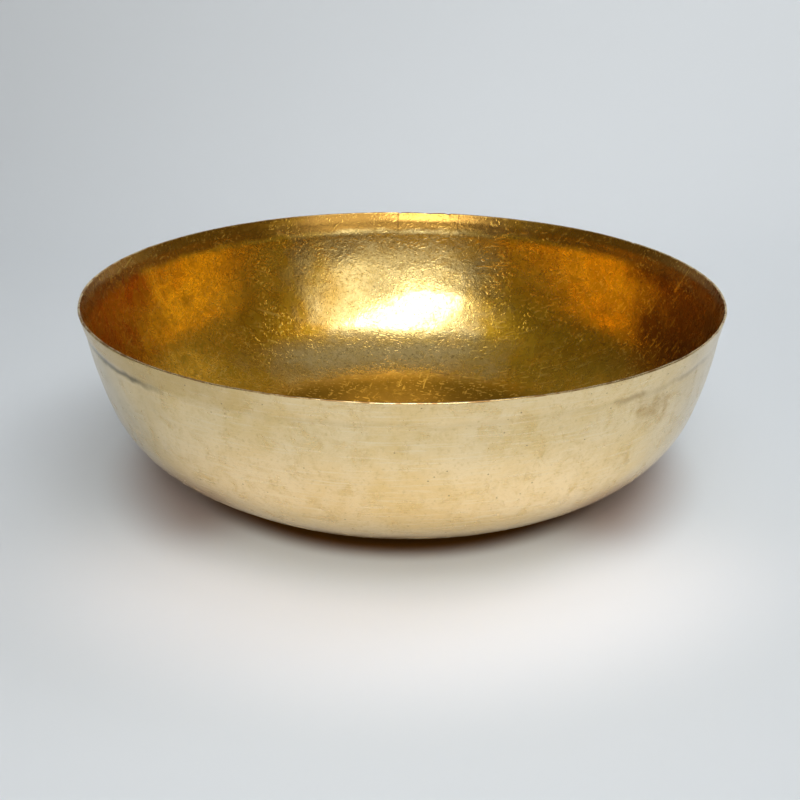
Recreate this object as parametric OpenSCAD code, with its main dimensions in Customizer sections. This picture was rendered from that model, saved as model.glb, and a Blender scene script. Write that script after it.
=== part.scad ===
// Shaving bowl: one sheet of brass, raised by hammer from a flat disc.
// A shallow collar under the rim leans out a little and is set off by a hammered crease. Below it
// the wall rounds into a dished bottom, and the middle is beaten flat so that the bowl stands.
// Millimetres, +Z up. The origin is the centre of the face that the bowl rests on.

/* [Overall size] */
// Outside diameter at the rim
rim_d = 280; // [272:1:300]
// Height from the resting face to the top of the rim
bowl_h = 84; // [81:1:87]
// Thickness of the sheet
wall_t = 1.5; // [1:0.1:2]

/* [Collar] */
// Height of the collar, from the crease to the rim
collar_h = 8.5; // [7:0.5:10]
// How far the collar leans out over its height
collar_flare = 1.8; // [1.2:0.2:2.4]
// Height of the shallow step in, under the crease
step_h = 2.5; // [1.5:0.5:3.5]
// How far the step takes the wall in from the collar's foot
step_in = 0.6; // [0.2:0.1:1]
// Width of the filed bevel along each edge of the rim
edge_bevel = 0.3; // [0.1:0.1:0.4]

/* [Body] */
// How far the top of the wall leans in from upright, in degrees
wall_lean = 7; // [5.5:0.5:8.5]
// Radius of the nearly straight wall's long curve
wall_r = 150; // [140:5:170]
// Radius of the shoulder, where the wall turns into the bottom
shoulder_r = 47; // [44:1:49]
// Height of the shoulder curve's centre above the resting face
shoulder_z = 57; // [55:1:59]

/* [Bottom] */
// Diameter of the flat that the bowl rests on
seat_d = 116; // [104:1:120]

/* [Hidden] */
brass = [0.80, 0.67, 0.42];
facet_angle = 2.5;
$fn = 180;

rim_r = rim_d / 2;
seat_r = seat_d / 2;
crease_z = bowl_h - collar_h;

// Foot of the collar, and top of the wall where its outer face meets the step.
collar_foot_r = rim_r - collar_flare;
wall_top_r = collar_foot_r - step_in;
wall_top_z = crease_z - step_h;

// Centre of the wall's curve, square to the leaning wall at its top.
wall_c_r = wall_top_r - wall_r * cos(wall_lean);
wall_c_z = wall_top_z + wall_r * sin(wall_lean);

// The shoulder's circle touches the wall's circle from inside.
shoulder_c_r = wall_c_r + sqrt(pow(wall_r - shoulder_r, 2) - pow(wall_c_z - shoulder_z, 2));

// The bottom's circle touches the shoulder's circle, and the resting face at the seat's edge.
seat_to_shoulder = shoulder_c_r - seat_r;
bottom_r = (pow(seat_to_shoulder, 2) + pow(shoulder_z, 2) - pow(shoulder_r, 2))
           / (2 * (shoulder_z - shoulder_r));

// Where one curve hands over to the next, in degrees round from straight down.
bottom_end = atan2(seat_to_shoulder, bottom_r - shoulder_z);
shoulder_end = atan2(shoulder_c_r - wall_c_r, wall_c_z - shoulder_z);
wall_end = 90 - wall_lean;

// Points along a curve about [cx, cz], without its first point, which the curve before it ends on.
function curve(cx, cz, r, from, to) =
    let (steps = ceil((to - from) / facet_angle))
    [for (i = [1 : steps])
        let (a = from + (to - from) * i / steps)
        [cx + r * sin(a), cz - r * cos(a)]];

// One face of the sheet in section, from the axis to the crease. Depth 0 is the outer face.
function sheet_face(depth) = concat(
    [[0, depth], [seat_r, depth]],
    curve(seat_r, bottom_r, bottom_r - depth, 0, bottom_end),
    curve(shoulder_c_r, shoulder_z, shoulder_r - depth, bottom_end, shoulder_end),
    curve(wall_c_r, wall_c_z, wall_r - depth, shoulder_end, wall_end),
    [[collar_foot_r - depth, crease_z]]
);

// The rim's edge in section, with a bevel on each side.
function rim_edge() = [
    [rim_r, bowl_h - edge_bevel],
    [rim_r - edge_bevel, bowl_h],
    [rim_r - wall_t + edge_bevel, bowl_h],
    [rim_r - wall_t, bowl_h - edge_bevel]
];

function reversed(points) = [for (i = [len(points) - 1 : -1 : 0]) points[i]];

module bowl() {
    color(brass)
        rotate_extrude()
            polygon(concat(sheet_face(0), rim_edge(), reversed(sheet_face(wall_t))));
}

bowl();
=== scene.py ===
"""Looks of the hand-raised brass shaving bowl: a hammered sheet mesh around the CAD frame, in metres."""

import math

import bpy
import numpy as np
from mathutils import Euler, Matrix, Vector, noise


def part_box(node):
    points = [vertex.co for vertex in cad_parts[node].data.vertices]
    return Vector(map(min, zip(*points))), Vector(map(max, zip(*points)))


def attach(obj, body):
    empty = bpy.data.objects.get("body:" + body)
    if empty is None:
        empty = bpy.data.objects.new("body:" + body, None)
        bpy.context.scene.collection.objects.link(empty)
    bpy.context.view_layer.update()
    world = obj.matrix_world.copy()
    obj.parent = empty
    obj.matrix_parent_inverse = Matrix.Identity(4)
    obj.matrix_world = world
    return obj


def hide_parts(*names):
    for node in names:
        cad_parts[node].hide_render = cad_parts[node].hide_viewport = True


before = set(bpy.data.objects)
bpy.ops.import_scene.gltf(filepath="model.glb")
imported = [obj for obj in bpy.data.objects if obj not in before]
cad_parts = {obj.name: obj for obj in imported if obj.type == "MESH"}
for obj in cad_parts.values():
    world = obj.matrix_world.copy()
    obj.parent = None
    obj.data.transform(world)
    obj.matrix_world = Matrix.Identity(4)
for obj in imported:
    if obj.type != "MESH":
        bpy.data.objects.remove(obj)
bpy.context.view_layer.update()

MM = 0.001

# The sheet's section, as in part.scad.
SHEET = 1.5 * MM
COLLAR_HEIGHT = 8.5 * MM
COLLAR_FLARE = 1.8 * MM
STEP_HEIGHT = 2.5 * MM
STEP_IN = 0.6 * MM
WALL_LEAN = math.radians(7)
WALL_RADIUS = 150 * MM
SHOULDER_RADIUS = 47 * MM
SHOULDER_HEIGHT = 57 * MM
SEAT_RADIUS = 58 * MM

LOW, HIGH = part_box("bowl")
RIM_RADIUS = (HIGH.x - LOW.x) / 2
RIM_HEIGHT = HIGH.z
CREASE_HEIGHT = RIM_HEIGHT - COLLAR_HEIGHT

# How the hand-made bowl differs from its plain section.
EDGE_ROUND = 0.4 * MM  # wear on the rim's edge
EDGE_THINNED = 0.6 * MM  # how much thinner the sheet gets in the last few millimetres
EDGE_THINNING = 5 * MM
GROOVE_DEPTH, GROOVE_WIDTH = 0.35 * MM, 1.3 * MM
SOFTEN = 1.3 * MM  # how far a hammered corner is rounded
SWELL_LONG, SWELL_LONG_PITCH = 0.30 * MM, 62 * MM
SWELL_SHORT, SWELL_SHORT_PITCH = 0.10 * MM, 24 * MM
FACET_DEPTH, FACET_PITCH = 0.16 * MM, 7.5 * MM
RIM_WAVE_OUT = 0.7 * MM
RIM_WAVE_UP = 0.45 * MM
LEAN_ASIDE = 0.017  # the bottom's shift to one side, per unit of depth below the rim

# Bearings round the bowl, in degrees anticlockwise from +X: the four sides, then where features are.
RIGHT, BACK, LEFT, FRONT = 0, 90, 180, 270
LEFT_CREASE, RIGHT_CREASE, SMEAR = 213, 322, 313
HAIRLINES = (91, 77)
GREEN_SPOT = 43

# Nicks in the rim's edge: bearing and half width in degrees, then depth in millimetres.
NICKS = [(90.5, 0.25, 0.5), (84, 1.6, 0.35), (79.5, 0.4, 0.45), (33, 0.3, 0.35), (203, 0.6, 0.6)]

# The mesh's rings of quads, from the middle of the bottom to the rim.
BODY_RINGS = 128
RIM_RINGS = 24
RIM_STRETCH = 16 * MM

# The camera: close, looking down over the near rim.
CAMERA_LENS = 51.75
CAMERA_DISTANCE = 3.68 * RIM_RADIUS
CAMERA_PITCH = math.radians(22.3)
CAMERA_ROLL = math.radians(0.35)
RIM_ABOVE_AXIS = math.radians(5.785)
CAMERA_ASIDE = -0.7 * MM


# ---------------------------------------------------------------- section of the sheet

def curve(cx, cz, radius, start, end, count):
    """Points on an arc about (cx, cz), without its first one; angles are from straight down."""
    turn = np.linspace(start, end, count + 1)[1:]
    return [(cx + radius * math.sin(a), cz - radius * math.cos(a)) for a in turn]


def section(depth):
    """One face of the sheet, from the axis to the rim's edge, as (radius, height) points."""
    wall_top_r = RIM_RADIUS - COLLAR_FLARE - STEP_IN
    wall_top_z = CREASE_HEIGHT - STEP_HEIGHT
    wall_c_r = wall_top_r - WALL_RADIUS * math.cos(WALL_LEAN)
    wall_c_z = wall_top_z + WALL_RADIUS * math.sin(WALL_LEAN)
    shoulder_c_r = wall_c_r + math.sqrt(
        (WALL_RADIUS - SHOULDER_RADIUS) ** 2 - (wall_c_z - SHOULDER_HEIGHT) ** 2
    )
    reach = shoulder_c_r - SEAT_RADIUS
    bottom_radius = (reach**2 + SHOULDER_HEIGHT**2 - SHOULDER_RADIUS**2) / (
        2 * (SHOULDER_HEIGHT - SHOULDER_RADIUS)
    )
    bottom_end = math.atan2(reach, bottom_radius - SHOULDER_HEIGHT)
    shoulder_end = math.atan2(shoulder_c_r - wall_c_r, wall_c_z - SHOULDER_HEIGHT)
    wall_end = math.pi / 2 - WALL_LEAN
    return (
        [(0, depth), (SEAT_RADIUS, depth)]
        + curve(SEAT_RADIUS, bottom_radius, bottom_radius - depth, 0, bottom_end, 24)
        + curve(shoulder_c_r, SHOULDER_HEIGHT, SHOULDER_RADIUS - depth, bottom_end, shoulder_end, 16)
        + curve(wall_c_r, wall_c_z, WALL_RADIUS - depth, shoulder_end, wall_end, 12)
        + [(RIM_RADIUS - COLLAR_FLARE - depth, CREASE_HEIGHT)]
        + [(RIM_RADIUS - depth, RIM_HEIGHT - EDGE_ROUND)]
    )


def section_rings(points):
    """A softened section as one (radius, height) row per ring, with finer rings towards the rim."""
    points = np.array(points)
    along = np.concatenate([[0], np.cumsum(np.hypot(*np.diff(points, axis=0).T))])
    turn = along[-1] - RIM_STRETCH
    stops = np.concatenate(
        [np.linspace(0, turn, BODY_RINGS + 1), np.linspace(turn, along[-1], RIM_RINGS + 1)[1:]]
    )
    dense = np.linspace(0, along[-1], 4001)
    window = np.hanning(2 * round(SOFTEN / dense[1]) + 3)
    pad = len(window) // 2
    rows = []
    for i in (0, 1):
        row = np.pad(np.interp(dense, along, points[:, i]), pad, mode="reflect", reflect_type="odd")
        rows.append(np.interp(stops, dense, np.convolve(row, window / window.sum(), "valid")))
    return np.stack(rows, axis=1)


def ring_normals(rows):
    """Unit normals of a section's rows, on its upper, inner side, as (out, up)."""
    way = np.gradient(rows, axis=0)
    normal = np.stack([-way[:, 1], way[:, 0]], axis=1)
    return normal / np.linalg.norm(normal, axis=1)[:, None]


# ---------------------------------------------------------------- the hammered surface

def smooth(low, high, x):
    """0 below low, 1 above high, and a soft step between."""
    t = np.clip((x - low) / (high - low), 0, 1)
    return t * t * (3 - 2 * t)


def rough_field(points, pitch, shift=0):
    """Soft random hills about one pitch across, from -1 to 1."""
    scaled = (points / pitch + shift).tolist()
    return np.array([noise.noise(p) for p in scaled])


def facet_field(points):
    """Hammer facets: 0 in the middle of each shallow dish, rising to the ridges between them."""
    scaled = (points / FACET_PITCH).tolist()
    near = np.array([noise.voronoi(p)[0][:2] for p in scaled])
    dish = near[:, 0] ** 2
    ridge = smooth(0, 0.35, near[:, 1] - near[:, 0])
    return dish * (0.6 + 0.4 * ridge)


def around(angle, pitch_degrees, seed):
    """Soft random waves round the rim, from -1 to 1."""
    size = 180 / math.pi / pitch_degrees
    circle = np.stack([np.cos(angle) * size, np.sin(angle) * size, np.full_like(angle, seed)], axis=1)
    return np.array([noise.noise(p) for p in circle.tolist()])


def bump(angle, centre_degrees, half_width_degrees):
    """A soft hump of height 1 centred on one bearing, counted anticlockwise from +X."""
    off = np.degrees(np.angle(np.exp(1j * (angle - math.radians(centre_degrees)))))
    return np.exp(-((off / half_width_degrees) ** 2))


def crease_strength(angle):
    """How deep the crease was beaten: deepest at the left, nearly planished out in front."""
    wander = 0.3 * around(angle, 20, 3.7)
    deep = 0.9 * bump(angle, LEFT_CREASE, 16) + 0.3 * bump(angle, RIGHT_CREASE, 14)
    return np.clip(0.3 + wander + deep - 0.35 * bump(angle, FRONT, 35), 0, 1.5)


def crease_line(angle):
    """The height that the crease runs at, which wanders a little."""
    return CREASE_HEIGHT + 0.9 * MM * around(angle, 18, 9.1) + 0.4 * MM * around(angle, 6, 4.3)


def rim_nicks(angle):
    """Small dents filed into the rim's edge, as a depth in metres."""
    return sum(depth * MM * bump(angle, at, half) for at, half, depth in NICKS)


def swells(place, radius, side):
    """The sheet's soft swells, which both faces share; the seat's outer face stays flat."""
    off_seat = smooth(SEAT_RADIUS * 0.9, SEAT_RADIUS * 1.5, radius)
    bend = SWELL_LONG * rough_field(place, SWELL_LONG_PITCH, 11.3)
    bend += SWELL_SHORT * rough_field(place, SWELL_SHORT_PITCH, 5.1)
    return bend * (off_seat + (1 - off_seat) * 0.3 * (side > 0))


def facets(place, radius, height, side):
    """Hammer facets of one face, weaker on the collar and left out where the bowl rests."""
    calm = 1 - 0.6 * smooth(CREASE_HEIGHT - 6 * MM, CREASE_HEIGHT, height)
    dent = FACET_DEPTH * facet_field(place + side) * calm
    keep = 1 if side > 0 else smooth(SEAT_RADIUS * 0.8, SEAT_RADIUS * 1.1, radius)
    return side * dent * keep


def hammered(radius, height, angle, out, up, side):
    """Places of one face's vertices. side is 1 for the inner face, -1 for the outer, 0 for the edge."""
    place = np.stack([radius * np.cos(angle), radius * np.sin(angle), height], axis=1)
    push = swells(place, radius, side)
    if side:
        push = push + facets(place, radius, height, side)
    groove = np.exp(-(((height - crease_line(angle)) / GROOVE_WIDTH) ** 2)) * crease_strength(angle)
    push = push + (GROOVE_DEPTH * groove if side < 0 else 0.5 * GROOVE_DEPTH * groove * (side > 0))
    near_rim = smooth(RIM_HEIGHT - 30 * MM, RIM_HEIGHT, height)
    at_edge = smooth(RIM_HEIGHT - 2.5 * MM, RIM_HEIGHT - EDGE_ROUND, height)
    outward = RIM_WAVE_OUT * near_rim * (0.7 * around(angle, 50, 1.2) + 0.3 * around(angle, 12, 8.4))
    upward = RIM_WAVE_UP * near_rim * (0.8 * around(angle, 70, 6.6) + 0.25 * around(angle, 6, 2.9))
    place[:, 0] += np.cos(angle) * (push * out + outward)
    place[:, 1] += np.sin(angle) * (push * out + outward)
    place[:, 2] += push * up + upward - at_edge * rim_nicks(angle)
    place[:, 0] += LEAN_ASIDE * (RIM_HEIGHT - height)
    return place


# ---------------------------------------------------------------- the mesh

def ring_grid(rings):
    """A square grid bent into rings: each vertex's ring and angle, the quads, and the last ring."""
    steps = np.arange(-rings, rings + 1)
    u, v = (a.ravel() for a in np.meshgrid(steps, steps, indexing="ij"))
    ring = np.maximum(abs(u), abs(v))
    safe = np.maximum(ring, 1)
    across = abs(u) >= abs(v)
    eighth = math.pi / 4
    angle = np.where(across, eighth * v / safe * np.sign(u), 2 * eighth - eighth * u / safe * np.sign(v))
    angle = angle + np.where(np.where(across, u, v) < 0, math.pi, 0)
    index = np.arange(len(u)).reshape(len(steps), len(steps))
    corners = [index[:-1, :-1], index[1:, :-1], index[1:, 1:], index[:-1, 1:]]
    quads = np.stack([c.ravel() for c in corners], axis=1)
    last = np.flatnonzero(ring == rings)
    last = last[np.argsort(np.mod(angle[last] + 1e-9, 2 * math.pi))]
    return ring, angle, quads, last


def face_of_sheet(depth, side, ring, angle):
    """Places of the vertices on one face of the sheet."""
    rows = section_rings(section(depth))
    out, up = ring_normals(rows)[ring].T
    radius, height = rows[ring].T
    if side > 0:
        radius = radius + EDGE_THINNED * smooth(RIM_HEIGHT - EDGE_THINNING, RIM_HEIGHT, height)
    return hammered(radius, height, angle, out, up, side)


def edge_of_rim(angle, steps):
    """Rings over the rim's worn edge, from the outer face to the inner one."""
    half = (SHEET - EDGE_THINNED) / 2
    rings = []
    for turn in np.linspace(0, math.pi, steps + 2)[1:-1]:
        radius = np.full_like(angle, RIM_RADIUS - half + half * math.cos(turn))
        height = np.full_like(angle, RIM_HEIGHT - EDGE_ROUND + EDGE_ROUND * math.sin(turn))
        rings.append(hammered(radius, height, angle, 0, 0, 0))
    return rings


OUTSIDE, INSIDE, EDGE = 0, 1, 2


def bowl_mesh():
    """The whole sheet as one closed mesh: outer face, inner face and the edge that joins them."""
    rings = BODY_RINGS + RIM_RINGS
    ring, angle, quads, last = ring_grid(rings)
    count = len(ring)
    outer = face_of_sheet(0, -1, ring, angle)
    inner = face_of_sheet(SHEET, 1, ring, angle)
    outer[:, 2] = np.maximum(outer[:, 2], LOW.z)
    edges = edge_of_rim(angle[last], 4)
    places = np.concatenate([outer, inner, *edges])
    loops = [last]
    loops += [2 * count + i * len(last) + np.arange(len(last)) for i in range(len(edges))]
    loops.append(last + count)
    strips = [
        np.stack([low, np.roll(low, -1), np.roll(high, -1), high], axis=1)
        for low, high in zip(loops, loops[1:])
    ]
    faces = np.concatenate([quads[:, ::-1], quads + count, *strips])
    slots = np.repeat([OUTSIDE, INSIDE, EDGE], [len(quads), len(quads), len(strips) * len(last)])
    mesh = bpy.data.meshes.new("bowl_sheet")
    mesh.from_pydata(places.tolist(), [], faces.tolist())
    mesh.polygons.foreach_set("material_index", slots)
    mesh.polygons.foreach_set("use_smooth", np.ones(len(faces), bool))
    mesh.validate()
    return mesh


# ---------------------------------------------------------------- materials

class Nodes:
    """A new material's node tree, with short calls for adding nodes."""

    def __init__(self, name):
        self.material = bpy.data.materials.new(name)
        self.material.use_nodes = True
        self.tree = self.material.node_tree
        self.shader = self.tree.nodes["Principled BSDF"]
        self.where = self.add("ShaderNodeTexCoord").outputs["Object"]

    def add(self, kind, inputs=(), **settings):
        """Adds a node, sets its settings, and sets or links its inputs by name or number."""
        made = self.tree.nodes.new(kind)
        for key, value in settings.items():
            setattr(made, key, value)
        for key, value in dict(inputs).items():
            self.put(made.inputs[key], value)
        return made

    def put(self, socket, value):
        """Links an output to a socket, or sets the socket's own value."""
        if isinstance(value, bpy.types.NodeSocket):
            self.tree.links.new(value, socket)
        else:
            socket.default_value = value

    def vector(self, operation, *values):
        """One vector operation's node."""
        return self.add("ShaderNodeVectorMath", dict(enumerate(values)), operation=operation)

    def stretch(self, length, width, depth, turn=(0, 0, 0)):
        """Turned coordinates in which a mark of that size (metres) is one unit each way."""
        turned = self.add("ShaderNodeMapping", {"Vector": self.where, "Rotation": turn, "Location": turn})
        sizes = (1 / length, 1 / width, 1 / depth)
        return self.vector("MULTIPLY", turned.outputs[0], sizes).outputs[0]

    def noise(self, pitch, detail=3, roughness=0.55, shift=0.0, bend=0.0):
        """Cloudy noise about one pitch (metres) across, from 0 to 1."""
        vector = self.vector("ADD", self.where, (shift, shift, shift)).outputs[0]
        sockets = {
            "Vector": vector, "Scale": 1 / pitch, "Detail": detail,
            "Roughness": roughness, "Distortion": bend,
        }
        return self.add("ShaderNodeTexNoise", sockets).outputs[0]

    def ramp(self, value, low, high, to_low=0.0, to_high=1.0):
        """Maps value softly from low..high to to_low..to_high."""
        sockets = {0: value, 1: low, 2: high, 3: to_low, 4: to_high}
        return self.add("ShaderNodeMapRange", sockets, interpolation_type="SMOOTHSTEP").outputs[0]

    def sum(self, *values):
        return self.fold("ADD", values)

    def product(self, *values):
        return self.fold("MULTIPLY", values)

    def most(self, *values):
        return self.fold("MAXIMUM", values)

    def fold(self, operation, values):
        """One math operation over two or more values."""
        total = values[0]
        for value in values[1:]:
            total = self.add("ShaderNodeMath", {0: total, 1: value}, operation=operation).outputs[0]
        return total

    def weighted(self, *pairs):
        """The sum of values, each times its weight."""
        return self.sum(*(self.product(value, weight) for value, weight in pairs))

    def flip(self, value):
        """0 where the value is 1, and 1 where it is 0."""
        return self.fold("SUBTRACT", (1.0, value))

    def tint(self, share, under, over):
        """Colour under, turned to colour over where share is 1."""
        mix = self.add("ShaderNodeMix", data_type="RGBA")
        sockets = [s for s in mix.inputs if s.enabled]
        for socket, value in zip(sockets, (share, under, over)):
            self.put(socket, value)
        return next(s for s in mix.outputs if s.enabled)

    def coat(self, under, over, share, *masks):
        """Colour under, covered to that share with colour over where every mask is 1."""
        return self.tint(self.product(share, *masks), under, over)

    def axis(self, name):
        """One object coordinate, in metres."""
        return self.add("ShaderNodeSeparateXYZ", {0: self.where}).outputs[name]

    def towards(self, bearing, half_width, ragged=0.12):
        """1 around a bearing (degrees) and 0 beyond half_width, with ragged edges."""
        flat = self.vector("MULTIPLY", self.where, (1, 1, 0)).outputs[0]
        unit = self.vector("NORMALIZE", flat).outputs[0]
        b = math.radians(bearing)
        dot = self.vector("DOT_PRODUCT", unit, (math.cos(b), math.sin(b), 0)).outputs["Value"]
        wander = self.ramp(self.noise(22 * MM, detail=4, shift=bearing), 0.3, 0.7, -ragged, ragged)
        edge = math.cos(math.radians(half_width))
        core = math.cos(math.radians(half_width * 0.35))
        return self.ramp(self.sum(dot, wander), edge, core)

    def beside(self, bearing, half_width):
        """1 along a thin upright line at one bearing, half_width metres to each side of it."""
        b = math.radians(bearing)
        off = self.vector("DOT_PRODUCT", self.where, (-math.sin(b), math.cos(b), 0)).outputs["Value"]
        apart = self.add("ShaderNodeMath", {0: off}, operation="ABSOLUTE").outputs[0]
        line = self.ramp(apart, half_width * 0.4, half_width * 1.4, 1, 0)
        return self.product(line, self.towards(bearing, 30, 0))

    def spot(self, bearing, height, radius):
        """1 within one radius (metres) of a place on the collar."""
        b = math.radians(bearing)
        place = (RIM_RADIUS * math.cos(b), RIM_RADIUS * math.sin(b), height)
        apart = self.vector("DISTANCE", self.where, place).outputs["Value"]
        return self.ramp(apart, radius * 0.6, radius * 1.3, 1, 0)

    def between(self, low, high, soft, ragged=0.0):
        """1 between two heights (metres), with soft ends."""
        height = self.axis("Z")
        if ragged:
            height = self.sum(height, self.ramp(self.noise(12 * MM, detail=4), 0.3, 0.7, -ragged, ragged))
        rise = self.ramp(height, low - soft, low + soft)
        fall = self.ramp(height, high - soft, high + soft, 1, 0)
        return self.product(rise, fall)


def rgb(r, g, b):
    """A linear colour for a shader's socket."""
    return (r, g, b, 1)


def dashes(n, length, width, sparse, turns):
    """Short random peen marks and scratches lying in several directions, from 0 to 1."""
    layers = []
    for turn in turns:
        marks = {"Vector": n.stretch(length, width, width, turn), "Detail": 1.0, "Roughness": 0.3}
        found = n.add("ShaderNodeTexNoise", {**marks, "Scale": 1.0}).outputs[0]
        layers.append(n.ramp(found, sparse, sparse + 0.07))
    return n.most(*layers)


def pits(n, pitch, size, sparse):
    """Tiny round pits, one in some of the cells, from 0 to 1."""
    cell = n.add("ShaderNodeTexVoronoi", {"Vector": n.where, "Scale": 1 / pitch})
    near = n.ramp(cell.outputs["Distance"], size * 0.3, size, 1, 0)
    chosen = n.ramp(cell.outputs["Color"], sparse, sparse + 0.1)
    return n.product(near, chosen)


def finish(n, colour, rough, height, depth):
    """Joins the colour, the roughness and a relief of that depth (metres) to the metal's shader."""
    relief = n.add("ShaderNodeBump", {"Height": height, "Strength": 1.0, "Distance": depth})
    n.put(n.shader.inputs["Metallic"], 1.0)
    n.put(n.shader.inputs["Base Color"], colour)
    n.put(n.shader.inputs["Roughness"], rough)
    n.put(n.shader.inputs["Normal"], relief.outputs[0])


# The ways that dashes lie, as turns about the three axes.
DASH_TURNS = [(0.2, 0.1, 0.4), (1.1, 0.3, 1.3), (0.3, 1.2, 2.2), (2.0, 0.5, 2.9), (0.7, 0.2, 3.6)]

# The outer face: polished brass, its patches and polishing lines, then what darkens it, including painted
# shade along the crease, on the sides and underneath.
PALE, HONEY, STRAW = rgb(0.96, 0.75, 0.43), rgb(0.90, 0.66, 0.31), rgb(0.74, 0.52, 0.20)
SAND, BUFFED = rgb(0.58, 0.41, 0.17), rgb(0.98, 0.82, 0.54)
CREASE_SHADE_FAINT, CREASE_SHADE_DEEP, CREASE_BROWN_RIGHT = rgb(0.50, 0.36, 0.16), rgb(0.17, 0.12, 0.04), rgb(0.45, 0.30, 0.14)
SMEAR_BROWN, HEM_BROWN, UNDER_SHADE_BROWN = rgb(0.56, 0.34, 0.10), rgb(0.56, 0.37, 0.11), rgb(0.12, 0.06, 0.02)
SHADED_SIDE_LEFT, SHADED_SIDE_RIGHT, PIT_BROWN = rgb(0.31, 0.30, 0.24), rgb(0.45, 0.42, 0.34), rgb(0.20, 0.13, 0.06)

# The inner face: amber tarnish, its zones, then its marks, with a painted dark reflection and painted
# glints among them.
AMBER, DEEP_AMBER, ORANGE = rgb(0.82, 0.51, 0.05), rgb(0.68, 0.39, 0.03), rgb(0.66, 0.32, 0.015)
OLIVE, RUSSET, GOLD = rgb(0.52, 0.30, 0.02), rgb(0.48, 0.20, 0.006), rgb(1.0, 0.65, 0.05)
COPPER, CLARET, CLEAN = rgb(0.92, 0.45, 0.03), rgb(0.46, 0.13, 0.006), rgb(0.93, 0.73, 0.32)
BROWN, UMBER, DARK_UMBER = rgb(0.46, 0.27, 0.015), rgb(0.26, 0.145, 0.013), rgb(0.17, 0.10, 0.007)
PAINTED_DARK_REFLECTION, HAIRLINE_BROWN = rgb(0.13, 0.04, 0.006), rgb(0.16, 0.08, 0.02)
COLLAR_GOLD, COLLAR_BROWN, VERDIGRIS = rgb(0.48, 0.27, 0.06), rgb(0.34, 0.15, 0.015), rgb(0.20, 0.27, 0.10)
DEEP_PIT, BRIGHT_DASH_AND_GLINT = rgb(0.14, 0.08, 0.03), rgb(0.92, 0.62, 0.13)

# The rim's edge.
EDGE_WORN, EDGE_BROWN = rgb(0.80, 0.60, 0.30), rgb(0.38, 0.21, 0.07)
EDGE_BACK, EDGE_DARK = rgb(0.34, 0.20, 0.06), rgb(0.12, 0.06, 0.02)


def outside_polish(n, cloud, mottle, fleck, streak):
    """Pale polished brass with straw-coloured patches and brighter polishing lines."""
    colour = n.tint(n.ramp(cloud, 0.36, 0.66), PALE, HONEY)
    colour = n.coat(colour, STRAW, 0.8, n.ramp(mottle, 0.42, 0.78))
    colour = n.coat(colour, SAND, 0.5, n.ramp(fleck, 0.52, 0.76))
    return n.coat(colour, BUFFED, 0.5, n.ramp(streak, 0.48, 0.75))


def outside_tarnish_and_shade(n, colour, mottle):
    """Painted shade along the crease, browner at the right, a smear below it, painted darker reflections on
    the sides, a brown hem and painted shade on the underside.
    """
    # Painted shade along the crease: faint all round, deep at the left where the groove is deepest.
    line = n.between(CREASE_HEIGHT - 2.2 * MM, CREASE_HEIGHT + 0.2 * MM, 1.1 * MM, ragged=0.8 * MM)
    colour = n.coat(colour, CREASE_SHADE_FAINT, 0.18, line)
    colour = n.coat(colour, CREASE_SHADE_DEEP, 0.95, line, n.towards(LEFT_CREASE + 3, 15, 0.01))
    # Darker brown along the crease at the right.
    colour = n.coat(colour, CREASE_BROWN_RIGHT, 0.6, line, n.towards(RIGHT_CREASE, 17, 0.03))
    below = n.between(CREASE_HEIGHT - 14 * MM, CREASE_HEIGHT - 2 * MM, 4 * MM, ragged=5 * MM)
    colour = n.coat(colour, SMEAR_BROWN, 0.6, below, n.towards(SMEAR, 4, 0.003), n.ramp(mottle, 0.35, 0.6))
    # Painted darker reflections on the left and right sides, greyer than the brass.
    colour = n.coat(colour, SHADED_SIDE_LEFT, 0.55, n.towards(LEFT + 2, 52, 0.04))
    colour = n.coat(colour, SHADED_SIDE_RIGHT, 0.46, n.towards(RIGHT - 2, 52, 0.04))
    hem = n.between(CREASE_HEIGHT, RIM_HEIGHT + 5 * MM, 1.0 * MM, ragged=0.8 * MM)
    colour = n.coat(colour, HEM_BROWN, 0.6, hem, n.towards(212, 42, 0.05))
    # Painted shade on the underside: dark brown below 2 mm, fading out by 10 mm.
    return n.coat(colour, UNDER_SHADE_BROWN, 1, n.ramp(n.axis("Z"), 2 * MM, 10 * MM, 1, 0))


def outside_brass():
    """Pale, hand-polished brass with soft tarnish, painted shade, thin polishing lines and pits."""
    n = Nodes("brass_outside")
    cloud = n.noise(42 * MM, detail=6, roughness=0.62, bend=0.8)
    mottle = n.noise(9 * MM, detail=6, roughness=0.72, shift=3.0, bend=0.5)
    fleck = n.noise(1.4 * MM, detail=4, roughness=0.65, shift=7.0)
    lines = {"Vector": n.stretch(16 * MM, 16 * MM, 0.8 * MM), "Scale": 1.0, "Detail": 4.0}
    streak = n.add("ShaderNodeTexNoise", lines).outputs[0]
    grain = n.noise(0.6 * MM, detail=2)
    dash = dashes(n, 8 * MM, 0.9 * MM, 0.72, DASH_TURNS[:3])
    pit = pits(n, 3.4 * MM, 0.12, 0.60)
    colour = outside_tarnish_and_shade(n, outside_polish(n, cloud, mottle, fleck, streak), mottle)
    colour = n.coat(colour, PIT_BROWN, 0.8, pit)
    raised = n.weighted((grain, 0.08), (streak, 0.3), (mottle, 0.8), (fleck, 0.2))
    height = n.sum(raised, n.weighted((dash, -0.5), (pit, -1.2)))
    rough = n.sum(n.ramp(mottle, 0.4, 0.8, 0.18, 0.34), n.ramp(streak, 0.4, 0.7, 0, 0.05))
    finish(n, colour, rough, height, 0.05 * MM)
    return n.material


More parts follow.
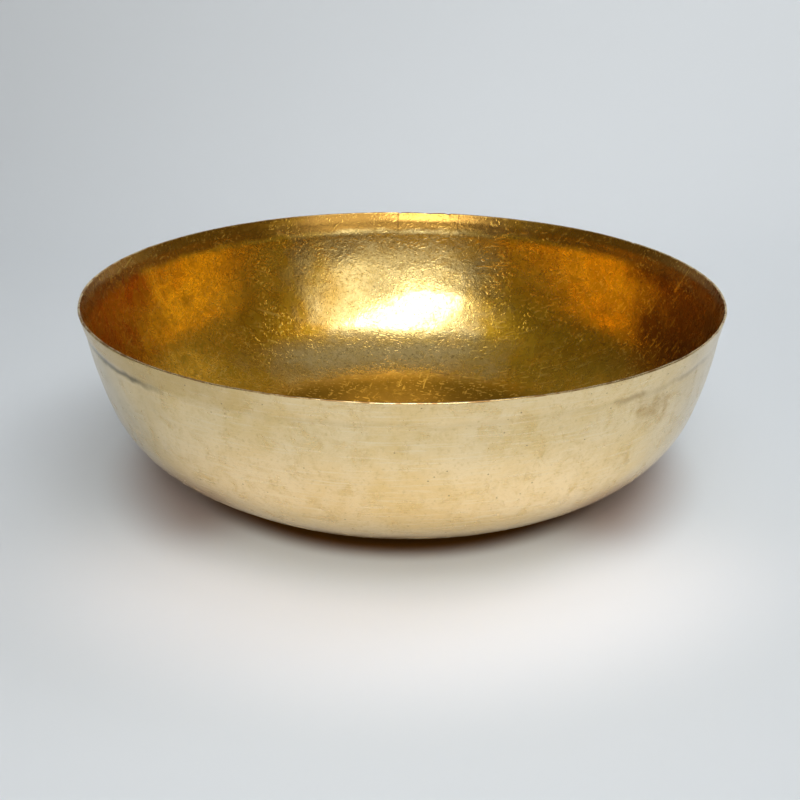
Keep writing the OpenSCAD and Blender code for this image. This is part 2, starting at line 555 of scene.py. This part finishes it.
def amber_tarnish(n):
    """The inner face's amber: orange low on the wall, olive at the right of the back."""
    cloud = n.noise(36 * MM, detail=6, roughness=0.62, bend=1.0)
    colour = n.tint(n.ramp(cloud, 0.35, 0.70), AMBER, DEEP_AMBER)
    colour = n.coat(colour, ORANGE, 0.9, n.between(-40 * MM, 46 * MM, 14 * MM, ragged=9 * MM))
    return n.coat(colour, OLIVE, 0.85, n.towards(54, 30), n.between(6 * MM, 50 * MM, 8 * MM, ragged=8 * MM))


def left_stripe(n, colour):
    """A gold band that runs fore and aft along the left of the wall, and the red-brown beyond it."""
    wander = n.ramp(n.noise(18 * MM, detail=4, shift=5.0), 0.3, 0.7, -7 * MM, 7 * MM)
    aside = n.sum(n.axis("X"), wander)
    stripe = n.product(n.ramp(aside, -126 * MM, -112 * MM), n.ramp(aside, -100 * MM, -84 * MM, 1, 0))
    colour = n.coat(colour, COPPER, 1, stripe, n.ramp(n.axis("Z"), 8 * MM, 20 * MM))
    colour = n.coat(colour, GOLD, 1, stripe, n.ramp(n.axis("Z"), 26 * MM, 52 * MM))
    return n.coat(colour, CLARET, 1, n.ramp(aside, -138 * MM, -115 * MM, 1, 0))


def cleaned_patch(n):
    """1 where the back of the wall was rubbed clean, and nearly so in a wider strip at its foot."""
    wall = n.product(n.towards(BACK + 1, 29, 0.03), n.between(18 * MM, CREASE_HEIGHT + 4 * MM, 7 * MM))
    foot = n.product(n.towards(BACK + 7, 46, 0.06), n.between(8 * MM, 20 * MM, 6 * MM), 0.85)
    return n.most(wall, foot)


def right_end(n, colour):
    """The right of the wall, with a painted dark reflection that gets darker towards its end."""
    dark = n.product(n.towards(RIGHT - 3, 43, 0.06), n.ramp(n.axis("Z"), 18 * MM, 48 * MM, 0.1, 1))
    # Painted dark reflection, nearly black brown, strongest high on the wall.
    return n.coat(colour, PAINTED_DARK_REFLECTION, 0.93, dark)


def inside_collar(n, colour):
    """The collar's inside: brown, brighter at the back, with two hairlines and a green spot."""
    collar = n.between(CREASE_HEIGHT - 0.5 * MM, RIM_HEIGHT + 5 * MM, 1.4 * MM, ragged=0.8 * MM)
    back = n.ramp(n.towards(BACK, 40, 0.04), 0, 1)
    colour = n.coat(colour, COLLAR_GOLD, 1, collar, n.ramp(back, 0, 1))
    colour = n.coat(colour, COLLAR_BROWN, 0.88, collar, n.flip(back))
    hairs = n.most(n.beside(HAIRLINES[0], 0.3 * MM), n.beside(HAIRLINES[1], 0.25 * MM))
    colour = n.coat(colour, HAIRLINE_BROWN, 0.8, hairs, collar)
    return n.coat(colour, VERDIGRIS, 0.8, n.spot(GREEN_SPOT, CREASE_HEIGHT + 3 * MM, 1.4 * MM))


def inside_brass():
    """Amber brass with olive and brown tarnish, a painted dark reflection at the right, and many small
    bright peen marks with painted glints.
    """
    n = Nodes("brass_inside")
    mottle = n.noise(7 * MM, detail=6, roughness=0.70, shift=3.0, bend=1.0)
    peen = n.noise(4.0 * MM, detail=3, roughness=0.5, shift=9.0, bend=1.5)
    fleck = n.noise(1.5 * MM, detail=4, roughness=0.65, shift=7.0, bend=0.6)
    grain = n.noise(0.6 * MM, detail=2)
    clean = cleaned_patch(n)
    bottom = n.ramp(n.axis("Z"), 4 * MM, 9 * MM, 1, 0)
    pit = pits(n, 3.6 * MM, 0.13, 0.60)
    crowd = n.ramp(n.noise(22 * MM, detail=3, shift=12.0), 0.36, 0.56, 0.25, 1)
    dash = n.product(dashes(n, 11 * MM, 1.4 * MM, 0.67, DASH_TURNS), crowd, n.ramp(clean, 0, 1, 1, 0.45))
    colour = n.coat(left_stripe(n, amber_tarnish(n)), CLEAN, 0.92, clean)
    warm = n.product(n.towards(28, 26, 0.06), n.between(24 * MM, RIM_HEIGHT, 8 * MM, ragged=6 * MM))
    colour = n.coat(colour, RUSSET, 0.52, warm)
    colour = n.coat(colour, BROWN, 0.8, n.ramp(mottle, 0.38, 0.74), n.ramp(clean, 0, 1, 1, 0.6))
    colour = n.coat(colour, UMBER, 0.65, n.ramp(fleck, 0.50, 0.72))
    colour = n.coat(right_end(n, colour), DARK_UMBER, 0.92, bottom)
    colour = n.coat(inside_collar(n, colour), DEEP_PIT, 0.8, pit)
    # Brighter metal in the peen marks and scratches, partly painted glints.
    colour = n.coat(colour, BRIGHT_DASH_AND_GLINT, 0.5, dash)
    raised = n.weighted((grain, 0.03), (mottle, 0.9), (peen, 1.3), (fleck, 0.14))
    height = n.sum(raised, n.weighted((dash, -1.0), (pit, -1.0)))
    rough = n.sum(n.ramp(mottle, 0.38, 0.75, 0.25, 0.36), n.weighted((clean, -0.11), (bottom, 0.20)))
    finish(n, colour, rough, height, 0.06 * MM)
    return n.material


def edge_brass():
    """The rim's bare edge: bright where hands have worn it, brown elsewhere."""
    n = Nodes("brass_edge")
    wear = n.noise(5 * MM, detail=4)
    colour = n.tint(n.ramp(wear, 0.42, 0.62), EDGE_WORN, EDGE_BROWN)
    colour = n.coat(colour, EDGE_BACK, 0.6, n.towards(BACK, 70))
    dark = n.most(n.towards(88, 3.5, 0.0005), n.towards(80.5, 4, 0.0005))
    colour = n.coat(colour, EDGE_DARK, 0.8, dark)
    grain = n.noise(0.5 * MM, detail=2)
    finish(n, colour, n.ramp(wear, 0.4, 0.7, 0.25, 0.45), grain, 0.03 * MM)
    return n.material


def make_bowl():
    """The visible bowl, which stands for the CAD node."""
    piece = bpy.data.objects.new("hammered_bowl", bowl_mesh())
    bpy.context.collection.objects.link(piece)
    for material in (outside_brass(), inside_brass(), edge_brass()):
        piece.data.materials.append(material)
    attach(piece, "root")
    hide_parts("bowl")


# ---------------------------------------------------------------- studio

# The paper, in metres: how far back it starts to curve up, its curve, its top and its half width.
SWEEP_START, SWEEP_RADIUS, SWEEP_TOP, SWEEP_HALF = 0.34, 0.7, 1.6, 3.0
FLOOR_FRONT = -3.0
PAPER, PAPER_LIT, PAPER_SHADED = rgb(0.71, 0.75, 0.79), rgb(0.87, 0.89, 0.94), rgb(0.24, 0.11, 0.05)
PAPER_CONTACT_SHADOW = rgb(0.17, 0.07, 0.01)


def sweep_profile():
    """The studio paper in section: flat under the bowl, then curved up behind it, as (y, z) points."""
    turn = np.linspace(0, math.pi / 2, 25)
    bend = [(SWEEP_START + SWEEP_RADIUS * math.sin(a), SWEEP_RADIUS * (1 - math.cos(a))) for a in turn]
    return [(FLOOR_FRONT, 0)] + bend + [(SWEEP_START + SWEEP_RADIUS, SWEEP_TOP)]


def paper():
    """Pale paper, with a painted pool of light in front where polished metal throws light, and painted
    brown shade and a painted contact shadow at the bowl's foot.
    """
    n = Nodes("studio_paper")
    away = n.add("ShaderNodeVectorMath", {0: n.where}, operation="LENGTH").outputs["Value"]
    # Painted pool of light: a lighter ring on the paper in front of the bowl.
    ring = n.product(n.ramp(away, 105 * MM, 140 * MM), n.ramp(away, 150 * MM, 215 * MM, 1, 0))
    colour = n.coat(PAPER, PAPER_LIT, 1, ring, n.towards(FRONT, 70, 0))
    # Painted brown shade on the paper beside the bowl.
    sides = n.flip(n.ramp(n.towards(FRONT, 60, 0), 0, 1))
    colour = n.coat(colour, PAPER_SHADED, 0.65, n.ramp(away, 104 * MM, 142 * MM, 1, 0), sides)
    # Painted contact shadow round the bowl's foot.
    colour = n.coat(colour, PAPER_CONTACT_SHADOW, 1, n.ramp(away, 86 * MM, 101 * MM, 1, 0))
    n.put(n.shader.inputs["Base Color"], colour)
    n.put(n.shader.inputs["Roughness"], 0.9)
    n.put(n.shader.inputs["Specular IOR Level"], 0.1)
    return n.material


def make_floor():
    """A plain pale sheet of paper that curves up behind the bowl."""
    line = sweep_profile()
    level = LOW.z - 0.1 * MM
    places = [(x, y, z + level) for y, z in line for x in (-SWEEP_HALF, SWEEP_HALF)]
    faces = [(2 * i, 2 * i + 1, 2 * i + 3, 2 * i + 2) for i in range(len(line) - 1)]
    mesh = bpy.data.meshes.new("floor")
    mesh.from_pydata(places, [], faces)
    mesh.polygons.foreach_set("use_smooth", np.ones(len(faces), bool))
    floor = bpy.data.objects.new("floor", mesh)
    bpy.context.collection.objects.link(floor)
    floor.data.materials.append(paper())


def panel(name, bearing, elevation, distance, width, height, radiance, colour, roll=0):
    """A rectangular softbox that faces the bowl; bearing is degrees to the right of the camera's side."""
    b, e = math.radians(bearing), math.radians(elevation)
    away = Vector((math.sin(b) * math.cos(e), -math.cos(b) * math.cos(e), math.sin(e)))
    light = bpy.data.lights.new(name, "AREA")
    light.shape = "RECTANGLE"
    light.size, light.size_y = width, height
    light.energy = radiance * width * height * math.pi
    light.color = colour
    made = bpy.data.objects.new(name, light)
    made.location = Vector((0, 0, RIM_HEIGHT)) + away * distance
    turn = away.to_track_quat("Z", "Y").to_matrix() @ Matrix.Rotation(math.radians(roll), 3, "Z")
    made.rotation_euler = turn.to_euler()
    made.visible_camera = False
    bpy.context.collection.objects.link(made)
    return made


# The room's light by height: walls up to one sine of elevation, then a pale ceiling above the other.
CEILING, WALLS = (0.33, 0.33, 0.34, 1), (0.18, 0.16, 0.13, 1)
WALLS_END, CEILING_START = 0.80, 0.96


def make_world():
    """A room with a pale ceiling and darker walls."""
    world = bpy.data.worlds.new("room")
    world.use_nodes = True
    tree = world.node_tree
    where = tree.nodes.new("ShaderNodeTexCoord")
    split = tree.nodes.new("ShaderNodeSeparateXYZ")
    rise = tree.nodes.new("ShaderNodeMapRange")
    rise.interpolation_type = "SMOOTHSTEP"
    rise.inputs[1].default_value, rise.inputs[2].default_value = WALLS_END, CEILING_START
    mix = tree.nodes.new("ShaderNodeMix")
    mix.data_type = "RGBA"
    share, walls, ceiling = [s for s in mix.inputs if s.enabled]
    walls.default_value, ceiling.default_value = WALLS, CEILING
    tree.links.new(where.outputs["Generated"], split.inputs[0])
    tree.links.new(split.outputs["Z"], rise.inputs[0])
    tree.links.new(rise.outputs[0], share)
    tree.links.new(next(s for s in mix.outputs if s.enabled), tree.nodes["Background"].inputs["Color"])
    bpy.context.scene.world = world


def pool(name, energy, angle, place, target):
    """A soft spot of light on the paper."""
    light = bpy.data.lights.new(name, "SPOT")
    light.energy, light.color = energy, (1.0, 0.97, 0.94)
    light.spot_size, light.spot_blend, light.shadow_soft_size = math.radians(angle), 1.0, 0.3
    made = bpy.data.objects.new(name, light)
    made.location = place
    aim = Vector(target) - made.location
    made.rotation_euler = aim.to_track_quat("-Z", "Y").to_euler()
    made.visible_camera = False
    bpy.context.collection.objects.link(made)
    return made


def make_lights():
    """A window high in front with its pale curtain, for the metal, and soft banks for the paper."""
    for made in (
        panel("window", -5.5, 52, 1.4, 0.66, 1.55, 4.5, (0.97, 0.98, 1.0), -17),
        panel("curtain", 3, 50, 1.6, 2.2, 2.4, 0.70, (1.0, 0.97, 0.93)),
        panel("low_card", 0, 11, 1.6, 1.3, 0.34, 0.42, (1.0, 0.96, 0.90)),
        panel("curtain_side", 32, 42, 1.55, 0.8, 1.9, 0.56, (1.0, 0.95, 0.85)),
    ):
        made.visible_diffuse = False
    for made in (
        panel("front_bank", 8, 52, 1.6, 1.5, 0.9, 1.8, (0.93, 0.97, 1.0)),
        panel("overhead", 80, 72, 1.7, 1.5, 1.2, 1.05, (0.94, 0.98, 1.0)),
        panel("right_wall", 120, 38, 2.2, 1.2, 1.2, 2.0, (0.97, 0.99, 1.0)),
        pool("front_pool", 56, 30, (-0.05, -1.27, 0.85), (0.0, -0.14, 0)),
        pool("back_pool", 44, 60, (0.7, -0.5, 1.4), (0.12, 0.92, 0.32)),
    ):
        made.visible_glossy = False


def make_camera():
    """A camera in front of the bowl, at the height and tilt that the constants above give."""
    camera = bpy.data.cameras.new("camera")
    camera.lens = CAMERA_LENS
    camera.clip_start = 0.01
    made = bpy.data.objects.new("camera", camera)
    down = CAMERA_PITCH - RIM_ABOVE_AXIS
    back = Vector((0, -math.cos(down), math.sin(down))) * CAMERA_DISTANCE
    made.location = Vector((CAMERA_ASIDE, 0, RIM_HEIGHT)) + back
    turn = Euler((math.pi / 2 - CAMERA_PITCH, 0, 0)).to_matrix() @ Matrix.Rotation(CAMERA_ROLL, 3, "Z")
    made.rotation_euler = turn.to_euler()
    bpy.context.collection.objects.link(made)
    bpy.context.scene.camera = made


make_bowl()
make_floor()
make_world()
make_lights()
make_camera()
bpy.context.scene.view_settings.view_transform = "Standard"
